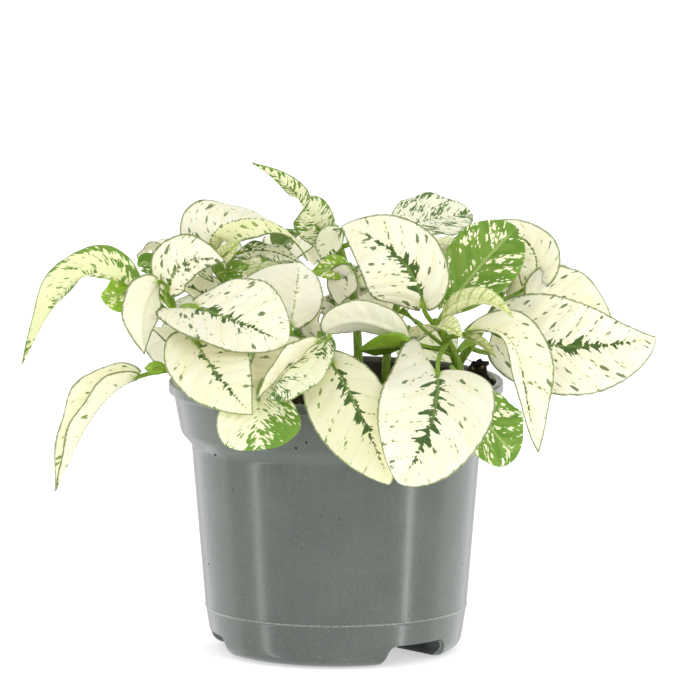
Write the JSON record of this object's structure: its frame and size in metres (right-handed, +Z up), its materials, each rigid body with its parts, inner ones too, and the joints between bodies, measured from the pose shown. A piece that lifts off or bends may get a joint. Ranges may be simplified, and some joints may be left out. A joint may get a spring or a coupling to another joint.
{
  "type": "potted polka dot plant",
  "caption": "Small bushy house plant with broad pointed cream leaves splashed dark green, growing from soil in a round grey nursery pot with a collar.",
  "frame": {"origin": "on the pot's axis, at the foot of the pot, on the surface it stands on", "axes": "+Z up along the pot's axis, -Y toward the plant's front, +X along its width, to the right as seen from the front"},
  "size_m": [0.2267, 0.1581, 0.1753],
  "materials": {
    "pot_plastic": "smooth grey moulded plastic, slightly scuffed",
    "potting_soil": "dark crumbly potting soil",
    "leaves": "satin cream leaf splashed with dark green"
  },
  "bodies": {
    "root": {"pot": "pot_plastic", "soil": "potting_soil", "shoot_centre": "leaves", "shoot_right": "leaves", "shoot_middle": "leaves", "shoot_left": "leaves", "shoot_left_back": "leaves", "shoot_top": "leaves", "shoot_back_left": "leaves", "shoot_back_right": "leaves"}
  },
  "joints": []
}
